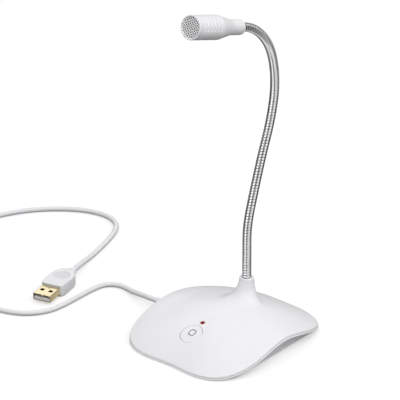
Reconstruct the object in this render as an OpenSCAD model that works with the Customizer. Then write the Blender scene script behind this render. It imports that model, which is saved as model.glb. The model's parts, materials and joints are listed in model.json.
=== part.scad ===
/* [Base] */
// Width of the base, left to right
base_w = 91; // [84:1:98]
// Depth of the base, front to back
base_d = 106; // [100:1:112]
// How far the outline's middle lies in front of the base's middle
middle_front = 3; // [1:0.5:4]
// Distance from the outline's middle to the outline, on the diagonal
corner_reach = 56.5; // [55:0.5:58]
// How far the straight edges are drawn in between the corners
edge_wave = 0.8; // [0:0.1:1.4]
// Height of the dome over the table
crown_h = 19.5; // [18.5:0.5:22]
// How full the dome is: 2 is a plain round dome
dome_power = 1.95; // [1.8:0.05:2.2]
// Height of the lip's upper edge at the front and back
rim_h = 1.9; // [1.8:0.1:2.2]
// Height of the lip itself
lip_h = 1.2; // [1:0.1:1.3]
// Width of the lip's flat underside
lip_w = 2.8; // [2.6:0.1:3.2]
// How far the lip arches up on the left and right sides
arch_rise = 9.7; // [9:0.1:10]
// Wall of the top shell, measured upright
wall = 1.7; // [1.5:0.1:1.8]
// Thickness of the bottom cover
pan_t = 2; // [1.6:0.1:2.2]
// How far the bottom cover is set back under the shell
pan_inset = 4.6; // [4:0.1:5.4]
// How far it is set back at the two rear corners
pan_corner = 1.2; // [0.8:0.1:2]
// Diameter of the rubber feet
foot_d = 8; // [6:0.5:9]
// Thickness of the rubber feet
foot_h = 0.8; // [0.6:0.1:1]
// Diameter of the screw posts in the top shell
post_d = 4.8; // [4.4:0.1:5]
// Diameter of the cover screws
screw_d = 2; // [1.6:0.1:2.4]

/* [Neck boss] */
// How far the neck stands behind the middle of the base
boss_y = 18; // [15:0.5:20]
// Diameter of the boss at its top
boss_d = 9; // [8.6:0.1:10]
// Height of the boss over the dome
boss_h = 15.5; // [13:0.5:17]
// Mean width of the flare from the boss's top to the dome
flare_reach = 10; // [8.5:0.5:12]
// How much wider the flare is in front than that, and narrower behind
flare_front = 6; // [2:0.5:7]

/* [Gooseneck] */
// Outer diameter of the gooseneck
neck_d = 5.5; // [5:0.1:5.8]
// Diameter of the wire that it is wound from
wire_d = 1.6; // [1.2:0.1:1.8]
// Length of the gooseneck from the boss to the head
neck_l = 184.5; // [165:0.5:200]
// Height of the lowest bending point over the boss
first_bend = 16; // [13:0.5:20]
// Room from a bending point to the nearest turn on each side
bend_room = 1.8; // [1.7:0.1:2.2]
// Outer diameter of the ferrule in the boss
ferrule_d = 6.8; // [6.6:0.1:7]

/* [Head] */
// Diameter of the barrel
head_d = 14.7; // [14:0.1:16]
// Length of the head
head_l = 46.5; // [44:0.5:52]
// Length of the straight barrel
barrel_l = 22; // [20:0.5:23]
// Diameter of the tail
tail_d = 9.3; // [9:0.1:9.8]
// Length of the straight tail
tail_l = 9.5; // [8:0.5:11]
// Wall of the head shell
head_wall = 1.2; // [1:0.1:1.4]
// Width of the rim round the grille
rim_w = 0.75; // [0.6:0.05:0.9]
// How far the grille sits behind the front rim
grille_depth = 0.7; // [0.4:0.1:1]
// Thickness of the grille
grille_t = 0.5; // [0.4:0.1:0.8]
// Diameter of one grille hole
grille_hole = 1.06; // [0.8:0.02:1.16]
// Distance between grille holes
grille_pitch = 1.6; // [1.4:0.05:1.8]
// Diameter of the microphone capsule
capsule_d = 9.7; // [6:0.1:10]
// Length of the microphone capsule
capsule_l = 6.7; // [4:0.1:8]
// Number of grip grooves on each side of the barrel
groove_count = 6; // [3:1:7]
// Distance between grip grooves
groove_pitch = 3.3; // [2.8:0.1:3.4]

/* [Button and lamp] */
// Width of the button
button_w = 13.5; // [12:0.5:14]
// Length of the button
button_l = 13; // [11:0.5:14]
// Distance from the front edge of the base to the button's middle
button_in = 21; // [19:0.5:23]
// Gap around the button
button_gap = 0.35; // [0.3:0.05:0.5]
// Travel of the button
button_travel = 0.5; // [0.3:0.05:0.6]
// Diameter of the status lamp
led_d = 2.7; // [2:0.1:3.2]
// Distance from the button's rear edge to the lamp's middle
lamp_gap = 3.5; // [3.2:0.1:5]

/* [Inside] */
// Width of the circuit board
board_w = 30; // [26:1:32]
// Depth of the circuit board
board_d = 28; // [26:1:29]
// Thickness of the circuit board
board_t = 1.6; // [1:0.1:1.8]
// Width of the ballast plate
ballast_w = 38; // [30:1:40]
// Depth of the ballast plate
ballast_d = 34; // [30:1:36]
// Thickness of the ballast plate
ballast_t = 4.5; // [3:0.5:5]

/* [Cord and plug] */
// Diameter of the cord
cord_d = 3.2; // [2.8:0.1:3.6]
// Length of the strain relief outside the bottom cover
relief_l = 13.5; // [12:0.5:16]
// Width of the plug's grip
grip_w = 15.5; // [14:0.5:16]
// Length of the plug's grip
grip_l = 24; // [21:0.5:26]
// Length of the rounded rear part of the grip
grip_rear_l = 10; // [8:0.5:12]
// Thickness of the plug's grip
grip_t = 8; // [7.4:0.2:8.6]
// Width of the plug's metal shell
usb_w = 12; // [11.8:0.1:12.2]
// Thickness of the plug's metal shell
usb_t = 4.5; // [4.3:0.1:4.7]
// Length of the metal shell outside the grip
usb_l = 12; // [11:0.5:13]

/* [Hidden] */

// Smoothness of true circles, and the count of steps round the base
$fn = 64;
base_steps = 72;

// Fits: loose parts, seated parts, and the gap of one moving piece to the next
loose = 0.3;
snug = 0.05;

// The base outline is a round with waves, set by width, depth and corner reach
mean_reach = (base_w + base_d) / 4;
outline_0 = (mean_reach + corner_reach) / 2;
outline_4 = (mean_reach - corner_reach) / 2;
outline_2 = (base_d - base_w) / 4 + edge_wave;
outline_1 = middle_front / 2;
arch_turn = 4;
arch_half = 63.5;
function rim_r(a) = outline_0 - outline_2 * cos(2 * a) + outline_4 * cos(4 * a) + edge_wave * cos(6 * a)
    + outline_1 * (sin(a) - sin(3 * a));
function arch_at(a) = abs(asin(sin(a)) - arch_turn) / arch_half;
function rim_z(a) = rim_h + (arch_at(a) < 1 ? arch_rise * pow(cos(90 * arch_at(a)), 2) : 0);
function dome_at(a, share) = crown_h - (crown_h - rim_z(a)) * pow(share, dome_power);
function dome_z(x, y) = let (out = y + middle_front, a = atan2(out, x))
    dome_at(a, norm([x, out]) / rim_r(a));
function outline_point(a, inset) = [0, -middle_front] + (rim_r(a) - inset) * [cos(a), sin(a)];

// The flare is a quarter ellipse from the boss's top down into the dome
boss_r = boss_d / 2;
boss_top = dome_z(0, boss_y) + boss_h;
function flare_share(p) = let (r = norm(p - [0, boss_y]),
    reach = flare_reach - flare_front * (p[1] - boss_y) / r) min(1, max(0, 1 - (r - boss_r) / reach));
function skin_z(p) = let (share = flare_share(p), w = pow(share, 2))
    (1 - w) * dome_z(p[0], p[1]) + w * dome_z(0, boss_y) + boss_h * (1 - sqrt(1 - w));

// Rounded edges of the shell: along the rim, and round the boss's top
edge_w = 0.5;
edge_drop = 0.35;
boss_round = 0.5;

// Levels inside the base
pan_top = foot_h + pan_t;
pan_wall = 2;

// The bottom cover follows the outline, and comes close to it at the rear corners
corner_turn = 42;
corner_half = 24;
function corner_at(a) = min(1, abs(asin(sin(a)) - corner_turn) / corner_half);
function pan_in(a) = pan_inset - (pan_inset - pan_corner) * pow(cos(90 * corner_at(a)), 2);
function pan_high(a) = let (p = outline_point(a, pan_in(a)), top = dome_z(p[0], p[1]) - wall)
    (pan_in(a) < lip_w + loose ? rim_z(a) - lip_h : top) - loose / 2;

// Heights of the board inside the base
board_stand = 1;
board_z = pan_top + board_stand;
board_top = board_z + board_t;

// Screw posts and feet, set in from the sides of the base
post_inset = [18.5, 26];
foot_inset = [17.5, 17];
post_at = [base_w, base_d] / 2 - post_inset;
foot_at = [base_w, base_d] / 2 - foot_inset;
screw_head_d = screw_d * 2.1;
screw_head_h = 0.9;
screw_grip = 4;

// The circuit board lies under the button and the lamp, on three bosses of the bottom cover
button_y = base_d / 2 - button_in;
led_y = button_y - button_l / 2 - lamp_gap;
board_mid = -(button_y + led_y) / 2;
board_inset = 3;
board_free = 6;
board_holes = [for (sx = [-1, 1]) [sx * (board_w / 2 - board_inset), board_mid + board_d / 2 - board_inset],
    [-board_w / 2 + board_inset, board_mid - board_d / 2 + board_free]];
board_boss_d = 4;
board_screw_d = 1.5;
board_screw_head = [3, 0.9];

// The button and its switch
switch_w = 4.6;
switch_h = 2.6;
switch_top = board_top + switch_h;
switch_bore = 1.6;
plunger_d = 2.6;
plunger_end = 0.2;
plunger_top = switch_top + button_travel + 0.5;
flange_w = 1.2;
flange_t = 1;
flange_gap = loose;
egg_steps = 36;
egg_lean = 0.1;

// Bending points of the gooseneck: the links share its length above the lowest bend, by these parts,
// and lean backwards from upright by these angles
link_part = [18.5, 22, 22.5, 20, 21, 19, 15.5, 18, 12];
link_lean = [0, 17, 18, 21.5, 12, -5.5, -22, -44.5, -72.3];
links = len(link_part);
function total(list, i = 0) = i < len(list) ? list[i] + total(list, i + 1) : 0;
link_l = link_part * (neck_l - first_bend) / total(link_part);
function bend_at(i) = i == 0 ? [0, boss_y, boss_top + first_bend]
    : bend_at(i - 1) + link_l[i - 1] * [0, sin(link_lean[i - 1]), cos(link_lean[i - 1])];
neck_r = neck_d / 2;
core_r = neck_r - wire_d * 0.45;
ball_gap = 0.2;
ball_r = min(norm([neck_r - wire_d / 2, bend_room]) - wire_d / 2, bend_room) - ball_gap;
turn_gap = 0.05;
stub_lap = 0.4;
bush_l = 9;
bush_wall = 0.75;
bush_start = 0.6;

// Ferrule in the boss: the bore has a narrow mouth, so that only the neck shows
mouth_l = 3;
nut_h = 2.4;
nut_d = ferrule_d + 4;
washer_h = 0.6;
washer_d = ferrule_d + 4.4;
seat_d = ferrule_d + 6;
seat_z = dome_z(0, boss_y + seat_d / 2) - wall;
nut_low = seat_z - washer_h - nut_h;
ferrule_tail = 0.6;
ferrule_low = nut_low - ferrule_tail;

// Head, measured along its axis from the tail
head_r = head_d / 2;
tail_r = tail_d / 2;
taper_l = head_l - barrel_l - tail_l;
cavity_r = head_r - head_wall;
cavity_low = head_l - barrel_l + 2;
bush_r = neck_r + bush_wall;
grille_r = head_r - rim_w - snug;
grille_margin = 0.9;
lining_r = cavity_r - snug;
foam_t = 1.6;
foam_top = head_l - grille_depth - grille_t;
holder_l = foam_top - foam_t - cavity_low;

// Strain relief and cord exit, under the left arch
relief_d = 5.2;
relief_neck = relief_d - 1.6;
cord_y = -middle_front;
cord_z = pan_top + loose + relief_d / 2;
wall_x = -(rim_r(180) - pan_inset);
relief_end = [wall_x - relief_l, cord_y, cord_z];

// Plug, lying flat on the table: where its cord leaves it, and how far it is turned
plug_rear = [-122, -5, grip_t / 2];
plug_turn = 15;
plug_relief_l = 5;
plug_relief_r = 2.6;
plug_relief_in = 2.5;
usb_sheet = 0.4;
usb_round = 0.6;
usb_round_in = 0.15;
usb_in = 6;
tongue_t = 1.8;

// Cord on the table: coil of the length that is put away, and the free stretches to it
floor_z = cord_d / 2;
coil_at = [-196, -49];
coil_mid = 18;
coil_columns = 5;
coil_layers = 2;
run_route = concat([relief_end], [[-60, -2.8, 5.4], [-66, -1.8, 4.6], [-72, -0.5, 3.5], [-78, 1, 2.4],
    [-84.5, 2.6, 1.7], [-89.7, 2.7, floor_z], [-94.4, 0.5, floor_z], [-97.6, -3.5, floor_z],
    [-98.8, -8.6, floor_z], [-99, -16, floor_z], [-98.8, -24, floor_z], [-98.5, -32, floor_z],
    [-98.4, -40.5, floor_z], [-99.4, -49, floor_z], [-103, -57, floor_z],
    [-109, -63.5, floor_z], [-117, -67.8, floor_z], [-127, -70.6, floor_z], [-138, -72.2, floor_z],
    [-150, -73, floor_z], [-163, -73.4, floor_z], [-176, -73.4, floor_z], [-184, -73.4, floor_z]]);
return_route = concat([[-220.4, -37, 4.6], [-220.2, -27, 3.6], [-219.6, -16, 2.4], [-218.8, -5, 1.7],
    [-217.4, 7, floor_z], [-215, 19, floor_z], [-211, 30, floor_z], [-205.5, 40, floor_z],
    [-198.5, 49, floor_z], [-190, 57, floor_z], [-180.5, 63.6, floor_z], [-170, 67.6, floor_z],
    [-159.5, 68.2, floor_z], [-150.5, 64.6, floor_z], [-144, 57.6, floor_z], [-139.8, 49, floor_z],
    [-136.4, 40, floor_z], [-133.2, 30, floor_z], [-130.2, 20, 1.8], [-127.4, 10.5, 2.7],
    [-124.6, 3, 3.6]], [plug_rear]);

// Surface between closed rings of points, each ring a list of the same length
function flat_list(rings) = [for (ring = rings) each ring];
function band_faces(first, n) = [for (i = [0:n - 1]) let (j = (i + 1) % n)
    each [[first + i, first + n + j, first + j], [first + i, first + n + i, first + n + j]]];
function fan_faces(first, n, tip, upper) = [for (i = [0:n - 1]) let (j = (i + 1) % n)
    upper ? [first + j, first + i, tip] : [first + i, first + j, tip]];

// Closed solid through a stack of rings, capped by a tip point at each end
module ring_stack(rings, first_tip, last_tip) {
    n = len(rings[0]);
    count = len(rings);
    points = concat(flat_list(rings), [first_tip, last_tip]);
    faces = concat(fan_faces(0, n, n * count, false),
        [for (k = [0:count - 2]) each band_faces(k * n, n)],
        fan_faces((count - 1) * n, n, n * count + 1, true));
    polyhedron(points, faces);
}

// Egg outline of the button, blunt at the front
function egg(grow) = [for (i = [0:egg_steps - 1]) let (t = 360 * i / egg_steps)
    [(button_w / 2 + grow) * cos(t) * (1 - egg_lean * sin(t)), (button_l / 2 + grow) * sin(t)]];

// Plate of the button's outline that follows the dome, between two depths under it
module dome_plate(grow, top, bottom) {
    shares = [0.35, 0.7, 1];
    function ring(share, depth) = [for (p = egg(grow)) let (x = p[0] * share, y = p[1] * share - button_y)
        [x, y, dome_z(x, y) - depth]];
    mid_z = dome_z(0, -button_y);
    ring_stack(concat([for (s = shares) ring(s, bottom)], [for (i = [2:-1:0]) ring(shares[i], top)]),
        [0, -button_y, mid_z - bottom], [0, -button_y, mid_z - top]);
}

module at_corners(place) {
    for (sx = [-1, 1], sy = [-1, 1]) translate([sx * place[0], sy * place[1], 0]) children();
}

// Outer skin of the top shell, from the boss's top out to the rim, closed by its inner skin
module shell_body() {
    rows = 12;
    rows_in = 8;
    steps = [for (i = [0:base_steps - 1]) 360 * i / base_steps];
    boss = [0, boss_y];
    function ray(a, r0, inset, t) = let (rim = outline_point(a, inset), way = rim - boss)
        boss + way / norm(way) * (r0 + t * (norm(way) - r0));
    function out_ring(t) = [for (a = steps) let (p = ray(a, boss_r, edge_w, t)) [p[0], p[1], skin_z(p)]];
    function edge_ring(t) = [for (a = steps) let (p = outline_point(a, edge_w * (1 - cos(t))))
        [p[0], p[1], skin_z(p) - edge_drop * (1 - sin(t))]];
    function boss_ring(t) = [for (a = steps) let (p = ray(a, boss_r - boss_round * (1 - cos(t)), 0, 0))
        [p[0], p[1], boss_top - boss_round * (1 - sin(t))]];
    function in_ring(t) = [for (a = steps) let (p = ray(a, boss_r, lip_w, t))
        [p[0], p[1], dome_z(p[0], p[1]) - wall]];
    function lip_ring(inset) = [for (a = steps) let (p = outline_point(a, inset))
        [p[0], p[1], rim_z(a) - lip_h]];
    ring_stack(concat([for (k = [0:rows_in]) in_ring(k / rows_in)], [lip_ring(lip_w), lip_ring(0)],
        [for (t = [0:30:60]) edge_ring(t)], [for (k = [0:rows - 1]) out_ring(pow(1 - k / rows, 1.7))],
        [for (t = [0:45:90]) boss_ring(t)]),
        [0, boss_y, dome_z(0, boss_y) - wall], [0, boss_y, boss_top]);
}

module top_shell() {
    color("whitesmoke") difference() {
        union() {
            shell_body();
            for (sx = [-1, 1], sy = [-1, 1])
                translate([sx * post_at[0], sy * post_at[1], pan_top])
                    cylinder(d = post_d, h = dome_z(post_at[0], sy * post_at[1]) - wall / 2 - pan_top);
            translate([0, boss_y, seat_z])
                cylinder(d = seat_d, h = dome_z(0, boss_y - seat_d / 2) - wall / 2 - seat_z);
        }
        translate([0, boss_y, 0]) cylinder(d = ferrule_d + 2 * snug, h = boss_top - mouth_l);
        translate([0, boss_y, 0]) cylinder(d = neck_d + loose, h = boss_top + 1);
        translate([0, -button_y, pan_top]) linear_extrude(crown_h) polygon(egg(button_gap));
        translate([0, -led_y, pan_top]) cylinder(d = led_d + 2 * snug, h = crown_h);
        at_corners(post_at) translate([0, 0, pan_top - 1])
            cylinder(d = screw_d + 2 * snug, h = screw_grip + 2);
    }
}

// Tray with a wall that rises under the arches to the inside of the shell
module pan_body() {
    steps = [for (i = [0:base_steps - 1]) 360 * i / base_steps];
    function level_ring(in, z) = [for (a = steps) let (p = outline_point(a, pan_in(a) + in))
        [p[0], p[1], z]];
    function top_ring(in) = [for (a = steps) let (p = outline_point(a, pan_in(a) + in))
        [p[0], p[1], pan_high(a)]];
    ring_stack([level_ring(0, foot_h), top_ring(0), top_ring(pan_wall), level_ring(pan_wall, pan_top)],
        [0, 0, foot_h], [0, 0, pan_top]);
}

module bottom_cover() {
    color("gainsboro") difference() {
        union() {
            pan_body();
            for (p = board_holes) translate([p[0], p[1], foot_h + pan_t / 2])
                cylinder(d = board_boss_d, h = board_z - foot_h - pan_t / 2);
        }
        at_corners(post_at) translate([0, 0, -1]) cylinder(d = screw_d + loose, h = pan_top + 2);
        at_corners(post_at) translate([0, 0, -1])
            cylinder(d = screw_head_d + loose, h = foot_h + screw_head_h + 1);
        for (p = board_holes) translate([p[0], p[1], foot_h + pan_t / 2])
            cylinder(d = board_screw_d + 2 * snug, h = board_z);
        translate([wall_x - 1, cord_y, cord_z]) rotate([0, 90, 0])
            cylinder(d = relief_neck + 2 * snug, h = pan_wall + 3);
    }
}

module rubber_feet() {
    color("dimgray") at_corners(foot_at) cylinder(d = foot_d, h = foot_h);
}

module cover_screws() {
    color("silver") at_corners(post_at) {
        translate([0, 0, foot_h]) cylinder(d = screw_head_d, h = screw_head_h);
        translate([0, 0, foot_h + screw_head_h / 2])
            cylinder(d = screw_d, h = pan_t - screw_head_h / 2 + screw_grip);
    }
}

module rounded_rectangle(wide, deep, round) {
    square([wide - 2 * round, deep], center = true);
    square([wide, deep - 2 * round], center = true);
    for (sx = [-1, 1], sy = [-1, 1])
        translate([sx * (wide / 2 - round), sy * (deep / 2 - round)]) circle(round);
}

module ballast_plate() {
    round = 4;
    shift = 3;
    nut_room = 2;
    color("slategray") translate([0, boss_y - shift, pan_top]) linear_extrude(ballast_t) difference() {
        rounded_rectangle(ballast_w, ballast_d, round);
        translate([0, shift]) circle(d = ferrule_d + nut_room);
    }
}

module circuit_board() {
    color("seagreen") difference() {
        translate([-board_w / 2, board_mid - board_d / 2, board_z]) cube([board_w, board_d, board_t]);
        for (p = board_holes) translate([p[0], p[1], board_z - 1])
            cylinder(d = board_screw_d + loose, h = board_t + 2);
    }
}

// Sound chip, crystal and a row of capacitors, and at the rear edge the headers for cord and neck lead
module board_parts() {
    chip = [5, 5, 0.9];
    chip_at = [4, 3];
    crystal = [5, 3.2, 0.9];
    crystal_at = [5, -4];
    capacitor = [1.6, 0.8, 0.8];
    capacitor_at = [-11, -1];
    capacitor_pitch = 4.5;
    capacitors = 3;
    cord_header = [6, 4, 3];
    neck_header = [4, 4, 3];
    header_gap = 4;
    header_in = 0.6;
    module on_board(x, y, size) {
        translate([x, board_mid + y, board_top]) cube(size);
    }
    header_y = board_d / 2 - header_in - cord_header[1];
    color("black") on_board(chip_at[0], chip_at[1], chip);
    color("silver") on_board(crystal_at[0], crystal_at[1], crystal);
    color("tan") for (i = [0:capacitors - 1])
        on_board(capacitor_at[0] + capacitor_pitch * i, capacitor_at[1], capacitor);
    color("ivory") on_board(-header_gap / 2 - cord_header[0], header_y, cord_header);
    color("ivory") on_board(header_gap / 2, header_y, neck_header);
}

module board_screws() {
    color("silver") for (p = board_holes) {
        translate([p[0], p[1], board_top]) cylinder(d = board_screw_head[0], h = board_screw_head[1]);
        translate([p[0], p[1], foot_h + pan_t / 2])
            cylinder(d = board_screw_d, h = board_top + board_screw_head[1] / 2 - foot_h - pan_t / 2);
    }
}

module push_switch() {
    color("dimgray") difference() {
        translate([-switch_w / 2, -button_y - switch_w / 2, board_top]) cube([switch_w, switch_w, switch_h]);
        translate([0, -button_y, switch_top - switch_bore])
            cylinder(d = plunger_d + 2 * snug, h = switch_bore + 1);
    }
}

module switch_plunger() {
    low = switch_top - switch_bore + button_travel + plunger_end;
    color("gray") translate([0, -button_y, low]) cylinder(d = plunger_d, h = plunger_top - low);
}

module button_cap() {
    under = wall + flange_gap;
    stem_top = dome_z(0, -button_y) - under - flange_t / 2;
    color("white") {
        dome_plate(0, 0, under + flange_t / 2);
        dome_plate(flange_w, under, under + flange_t);
        translate([0, -button_y, plunger_top]) cylinder(d = plunger_d + 1, h = stem_top - plunger_top);
    }
}

// Lamp: lens with a collar, on two legs that stand on the board
module status_lamp() {
    collar_room = 1.4;
    collar_h = 2;
    collar_d = led_d + 0.5;
    lens_over = 0.2;
    leg = 0.5;
    leg_x = 0.7;
    collar_top = dome_z(0, -led_y) - wall - collar_room;
    lens_top = dome_z(0, -led_y) + lens_over;
    color("firebrick") translate([0, -led_y, 0]) {
        translate([0, 0, collar_top - collar_h]) cylinder(d = collar_d, h = collar_h);
        translate([0, 0, collar_top - 1]) cylinder(d = led_d, h = lens_top - led_d / 4 - collar_top + 1);
        translate([0, 0, lens_top - led_d / 2]) intersection() {
            sphere(d = led_d);
            cylinder(d = led_d + 1, h = led_d);
        }
        for (sx = [-1, 1]) translate([sx * leg_x - leg / 2, -leg / 2, board_top])
            cube([leg, leg, collar_top - 1 - board_top]);
    }
}

module neck_ferrule() {
    color("silver") translate([0, boss_y, ferrule_low]) difference() {
        cylinder(d = ferrule_d, h = boss_top - mouth_l - ferrule_low);
        translate([0, 0, -1]) cylinder(d = neck_d + 2 * snug, h = boss_top);
    }
}

module neck_washer() {
    color("silver") translate([0, boss_y, seat_z - washer_h]) difference() {
        cylinder(d = washer_d, h = washer_h);
        translate([0, 0, -1]) cylinder(d = ferrule_d + 2 * snug, h = washer_h + 2);
    }
}

module neck_nut() {
    color("silver") translate([0, boss_y, nut_low]) difference() {
        cylinder(d = nut_d, h = nut_h, $fn = 6);
        translate([0, 0, -1]) cylinder(d = ferrule_d + 2 * snug, h = nut_h + 2);
    }
}

// Half section of wound neck between two heights: core and turns, revolved round the neck's axis
module wound(low, high) {
    turns = floor((high - low) / (wire_d + turn_gap));
    pitch = (high - low) / turns;
    translate([0, low]) square([core_r, high - low]);
    for (k = [0:turns]) translate([neck_r - wire_d / 2, low + k * pitch]) circle(d = wire_d, $fn = 24);
}

// Small ball that the lower end of a link turns on
module pivot_ball() {
    intersection() {
        circle(ball_r);
        translate([0, -neck_d]) square([neck_d, 2 * neck_d]);
    }
    square([ball_r * 0.7, bend_room + wire_d / 2]);
}

module on_link(i) {
    translate(bend_at(i)) rotate([-link_lean[i], 0, 0]) children();
}

module neck_link(i) {
    color("lightgray") on_link(i) rotate_extrude() {
        pivot_ball();
        wound(bend_room, link_l[i] - bend_room);
    }
}

module neck_foot() {
    low = ferrule_low + ferrule_tail;
    color("lightgray") translate([0, boss_y, 0]) {
        translate([0, 0, low]) cylinder(d = neck_d, h = boss_top + stub_lap - low);
        rotate_extrude() wound(boss_top + wire_d / 2, boss_top + first_bend - bend_room);
    }
}

// The last link ends in a plain stub inside the head's bush
module neck_link_9() {
    last = links - 1;
    color("lightgray") on_link(last) {
        rotate_extrude() {
            pivot_ball();
            wound(bend_room, link_l[last] - wire_d / 2);
        }
        translate([0, 0, link_l[last] - stub_lap]) cylinder(d = neck_d, h = bush_l);
    }
}

// Head parts stand along the last link's axis, from the head's tail forward
module on_head() {
    on_link(links - 1) translate([0, 0, link_l[links - 1]]) children();
}

module neck_bush() {
    color("silver") on_head() translate([0, 0, bush_start]) difference() {
        cylinder(r = bush_r, h = bush_l);
        translate([0, 0, -1]) cylinder(d = neck_d + 2 * snug, h = bush_l + 2);
    }
}

// Outer profile of the head: rounded tail, even taper with soft ends, barrel with a rounded front edge
taper_soft = 0.2;
function taper(t) = t < taper_soft ? t * t / (2 * taper_soft * (1 - taper_soft))
    : t > 1 - taper_soft ? 1 - taper(1 - t) : (t - taper_soft / 2) / (1 - taper_soft);
function head_r_at(z) = tail_r + (head_r - tail_r) * taper(min(1, max(0, (z - tail_l) / taper_l)));
tail_round = 1.7;
front_round = 0.5;
function head_profile() = concat(
    [for (t = [0:15:90]) [tail_r - tail_round + tail_round * sin(t), tail_round - tail_round * cos(t)]],
    [for (t = [0:0.125:1]) let (z = tail_l + taper_l * t) [head_r_at(z), z]],
    [for (t = [0:30:90])
        [head_r - front_round + front_round * cos(t), head_l - front_round + front_round * sin(t)]]);

// One grip groove: a shallow slot round part of the head's side
groove_arc = 60;
module grip_groove(z) {
    deep = 0.35;
    wide = 1.3;
    translate([0, 0, z]) rotate_extrude(angle = groove_arc)
        translate([head_r_at(z) - deep, -wide / 2]) square([2, wide]);
}

module head_shell() {
    groove_first = 6;
    groove_low = -12;
    color("whitesmoke") on_head() difference() {
        rotate_extrude() polygon(concat([[0, 0]], head_profile(), [[0, head_l]]));
        translate([0, 0, bush_start]) cylinder(r = bush_r + snug, h = head_l);
        translate([0, 0, -1]) cylinder(d = neck_d + loose, h = 3);
        translate([0, 0, cavity_low]) cylinder(r = cavity_r, h = head_l);
        translate([0, 0, foam_top]) cylinder(r = head_r - rim_w, h = head_l);
        for (k = [0:groove_count - 1]) {
            z = head_l - groove_first - k * groove_pitch;
            rotate([0, 0, groove_low]) grip_groove(z);
            rotate([0, 0, 180 - groove_low - groove_arc]) grip_groove(z);
        }
    }
}

// Perforated disc with columns of holes on a triangle grid, pressed against the shell's shoulder
module grille() {
    reach = grille_r - grille_margin;
    columns = floor(reach / (grille_pitch * sin(60)));
    color("silver") on_head() translate([0, 0, foam_top]) linear_extrude(grille_t) difference() {
        circle(grille_r);
        for (j = [-columns:columns], i = [-columns - 2:columns + 2])
            let (p = grille_pitch * [j * sin(60), i + (abs(j) % 2) / 2])
                if (norm(p) < reach) translate(p) circle(d = grille_hole, $fn = 20);
    }
}

module foam_disc() {
    color("dimgray") on_head() translate([0, 0, foam_top - foam_t]) cylinder(r = lining_r, h = foam_t);
}

module mic_capsule() {
    color("silver") on_head() translate([0, 0, foam_top - foam_t - capsule_l])
        cylinder(d = capsule_d, h = capsule_l);
}

module capsule_holder() {
    color("black") on_head() translate([0, 0, cavity_low]) difference() {
        cylinder(r = lining_r, h = holder_l);
        translate([0, 0, holder_l - capsule_l]) cylinder(d = capsule_d + 2 * snug, h = capsule_l + 1);
        translate([0, 0, -1]) cylinder(d = capsule_d - 3, h = holder_l);
    }
}

// Tapered sleeve with a neck clamped in the cover's wall, a collar inside and ribs outside
module strain_relief() {
    full_r = relief_d / 2;
    neck_r_in = relief_neck / 2;
    end_r = cord_d / 2 + 0.5;
    collar = 1.8;
    slack = 0.6;
    inner = -pan_wall - slack;
    outer = slack / 2;
    rib_pitch = 3;
    ribs = floor((relief_l - rib_pitch) / rib_pitch);
    color("whitesmoke") translate([wall_x, cord_y, cord_z]) rotate([0, -90, 0]) rotate_extrude() {
        polygon([[0, inner - collar], [full_r, inner - collar], [full_r, inner], [neck_r_in, inner],
            [neck_r_in, outer], [full_r, outer], [full_r, outer + collar], [end_r, relief_l],
            [0, relief_l]]);
        for (k = [1:ribs]) translate([0, rib_pitch * k])
            square([full_r + 0.15 - (full_r - end_r) * rib_pitch * k / relief_l, rib_pitch / 2]);
    }
}

// Tube swept along a route: rings square to the way, eight sides
module swept_cord(route) {
    last = len(route) - 1;
    sides = 8;
    function way(i) = let (d = route[min(i + 1, last)] - route[max(i - 1, 0)]) d / norm(d);
    function ring(i) = let (t = way(i), side = cross(t, [0, 0, 1]) / norm(cross(t, [0, 0, 1])),
        up = cross(side, t)) [for (k = [0:sides - 1]) let (a = 360 * (k + 0.5) / sides)
        route[i] + cord_d / 2 * (cos(a) * side + sin(a) * up)];
    color("whitesmoke") ring_stack([for (i = [0:last]) ring(i)], route[0], route[last]);
}

module cord_run() {
    swept_cord(run_route);
}

module cord_return() {
    swept_cord(return_route);
}

module cord_coil() {
    wide = coil_columns * cord_d;
    color("whitesmoke") translate(coil_at) rotate_extrude()
        translate([coil_mid - wide / 2, 0]) square([wide, coil_layers * cord_d]);
}

// Tie: a flat band round one side of the coil
module cord_tie() {
    wide = coil_columns * cord_d;
    high = coil_layers * cord_d;
    tie_w = 5;
    tie_t = 0.8;
    side_room = 0.6;
    top_room = 0.1;
    half = wide / 2 + side_room;
    color("dimgray") translate([coil_at[0], coil_at[1] + coil_mid, 0]) rotate([90, 0, 90])
        translate([0, 0, -tie_w / 2]) linear_extrude(tie_w) difference() {
            translate([-half - tie_t, 0]) square([2 * (half + tie_t), high + top_room + tie_t]);
            translate([-half, -1]) square([2 * half, high + top_room + 1]);
        }
}

// Plug parts stand in a frame with Y along the plug, from the cord towards the tip
module on_plug() {
    translate(plug_rear) rotate([0, 0, 180 + plug_turn]) children();
}

// Short collar with a stepped end, seated in the grip
module plug_relief() {
    out_r = cord_d / 2 + 0.35;
    step_l = 1.4;
    bevel = 0.2;
    seat = plug_relief_l + plug_relief_in;
    color("whitesmoke") on_plug() rotate([-90, 0, 0]) rotate_extrude()
        polygon([[0, 0], [out_r, 0], [out_r, step_l], [plug_relief_r - bevel, step_l],
            [plug_relief_r, step_l + bevel], [plug_relief_r, seat], [0, seat]]);
}

// Grip outline: straight sides from the shell, then a half ellipse round to the cord
module grip_outline(shrink) {
    front_r = 1;
    rear = [grip_w / 2, grip_rear_l] - [shrink, shrink];
    hull() {
        for (sx = [-1, 1]) translate([sx * (grip_w / 2 - front_r), plug_relief_l + grip_l - front_r])
            circle(front_r - shrink, $fn = 24);
        translate([0, plug_relief_l + grip_rear_l]) scale([rear[0] / rear[1], 1]) circle(rear[1], $fn = 48);
    }
}

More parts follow.
